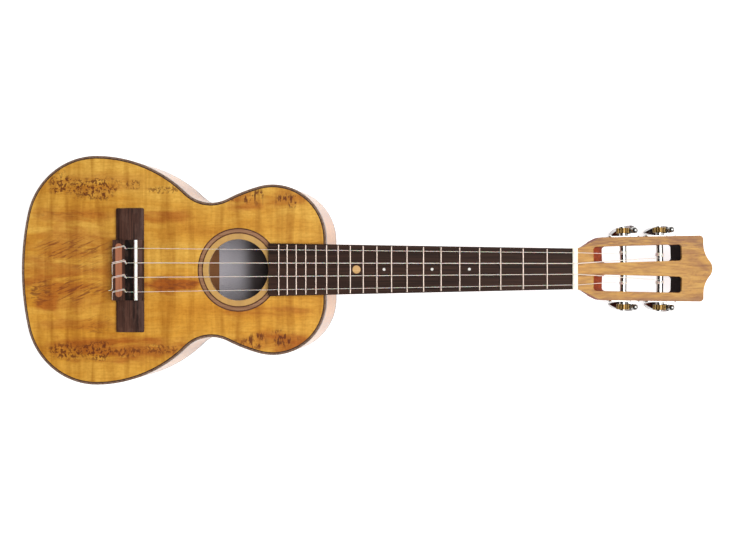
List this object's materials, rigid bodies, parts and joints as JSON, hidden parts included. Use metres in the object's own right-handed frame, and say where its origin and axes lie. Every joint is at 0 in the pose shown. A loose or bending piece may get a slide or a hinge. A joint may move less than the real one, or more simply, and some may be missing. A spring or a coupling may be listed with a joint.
{
  "type": "ukulele",
  "caption": "Tenor ukulele with a hollow figure-eight body, round sound hole, fretted neck, slotted head with geared tuning pegs and a tie bridge.",
  "frame": {"origin": "under the middle of the whole length and width, on the flat back's plane", "axes": "+X from the tail to the tip of the head, +Y across the body towards the low-pitched side, +Z out of the soundboard"},
  "size_m": [0.6948, 0.2334, 0.0784],
  "materials": {
    "figured_top": "gloss",
    "figured_back": "gloss",
    "edge_binding": "gloss",
    "dark_line": "gloss",
    "rosette_band": "gloss",
    "rosette_line": "gloss",
    "inner_wood": "raw",
    "brace_wood": "raw",
    "label_paper": "matt",
    "neck_wood": "satin",
    "head_veneer": "gloss",
    "dark_board": "satin",
    "fret_metal": "polished",
    "pearl": "polished",
    "gold_disc": "satin",
    "bone": "polished",
    "bridge_inlay": "satin",
    "nylon": "gloss",
    "nickel": "polished",
    "gear_brass": "satin",
    "button_resin": "gloss"
  },
  "bodies": {
    "instrument": {"soundboard": "figured_top", "back_plate": "figured_back", "side_bass": "figured_back", "side_treble": "figured_back", "top_binding": "edge_binding", "top_purfling": "dark_line", "back_binding": "edge_binding", "rosette_ring": "rosette_band", "rosette_lines": "rosette_line", "top_linings": "inner_wood", "back_linings": "inner_wood", "neck_block": "inner_wood", "tail_block": "inner_wood", "tail_wedge": "edge_binding", "transverse_braces": "brace_wood", "fan_braces": "brace_wood", "bridge_plate": "inner_wood", "back_braces": "brace_wood", "back_centre_strip": "brace_wood", "paper_label": "label_paper", "neck": "neck_wood", "heel_cap": "edge_binding", "headstock": "neck_wood", "headplate": "head_veneer", "fretboard": "dark_board", "frets": "fret_metal", "position_dots": "pearl", "twelfth_fret_marker": "gold_disc", "nut": "bone", "bridge": "dark_board", "saddle": "bone", "tie_block_inlay": "bridge_inlay", "string_g": "nylon", "string_c": "nylon", "string_e": "nylon", "string_a": "nylon", "tuner_plates_bass": "nickel", "tuner_plates_treble": "nickel", "plate_screws": "nickel"},
    "g_string_roller": {"roller_g": "nickel", "gear_g": "gear_brass", "winding_g": "nylon"},
    "g_button_shaft": {"worm_g": "nickel", "button_g": "button_resin"},
    "c_string_roller": {"roller_c": "nickel", "gear_c": "gear_brass", "winding_c": "nylon"},
    "c_button_shaft": {"worm_c": "nickel", "button_c": "button_resin"},
    "e_string_roller": {"roller_e": "nickel", "gear_e": "gear_brass", "winding_e": "nylon"},
    "e_button_shaft": {"worm_e": "nickel", "button_e": "button_resin"},
    "a_string_roller": {"roller_a": "nickel", "gear_a": "gear_brass", "winding_a": "nylon"},
    "a_button_shaft": {"worm_a": "nickel", "button_a": "button_resin"}
  },
  "joints": [
    {"name": "g_button_turn", "type": "hinge", "parent": "instrument", "child": "g_button_shaft", "pos_m": [0.2682, 0.03725, 0.04686], "axis": [0.2419, 0, 0.9703], "continuous": true},
    {"name": "g_roller_turn", "type": "hinge", "parent": "instrument", "child": "g_string_roller", "pos_m": [0.25996, 0.03709, 0.04892], "axis": [-0.0188, 0.9998, 0.0047], "continuous": true},
    {"name": "c_button_turn", "type": "hinge", "parent": "instrument", "child": "c_button_shaft", "pos_m": [0.3041, 0.03797, 0.03791], "axis": [0.2419, 0, 0.9703], "continuous": true},
    {"name": "c_roller_turn", "type": "hinge", "parent": "instrument", "child": "c_string_roller", "pos_m": [0.29586, 0.0378, 0.03996], "axis": [-0.0188, 0.9998, 0.0047], "continuous": true},
    {"name": "e_button_turn", "type": "hinge", "parent": "instrument", "child": "e_button_shaft", "pos_m": [0.3041, -0.03797, 0.03791], "axis": [0.2419, 0, 0.9703], "continuous": true},
    {"name": "e_roller_turn", "type": "hinge", "parent": "instrument", "child": "e_string_roller", "pos_m": [0.29586, -0.0378, 0.03996], "axis": [-0.0188, -0.9998, 0.0047], "continuous": true},
    {"name": "a_button_turn", "type": "hinge", "parent": "instrument", "child": "a_button_shaft", "pos_m": [0.2682, -0.03725, 0.04686], "axis": [0.2419, 0, 0.9703], "continuous": true},
    {"name": "a_roller_turn", "type": "hinge", "parent": "instrument", "child": "a_string_roller", "pos_m": [0.25996, -0.03709, 0.04892], "axis": [-0.0188, -0.9998, 0.0047], "continuous": true}
  ],
  "couplings": [
    {"joint": "g_roller_turn", "follows": "g_button_turn", "ratio": 0.071429},
    {"joint": "c_roller_turn", "follows": "c_button_turn", "ratio": 0.071429},
    {"joint": "e_roller_turn", "follows": "e_button_turn", "ratio": 0.071429},
    {"joint": "a_roller_turn", "follows": "a_button_turn", "ratio": 0.071429}
  ]
}
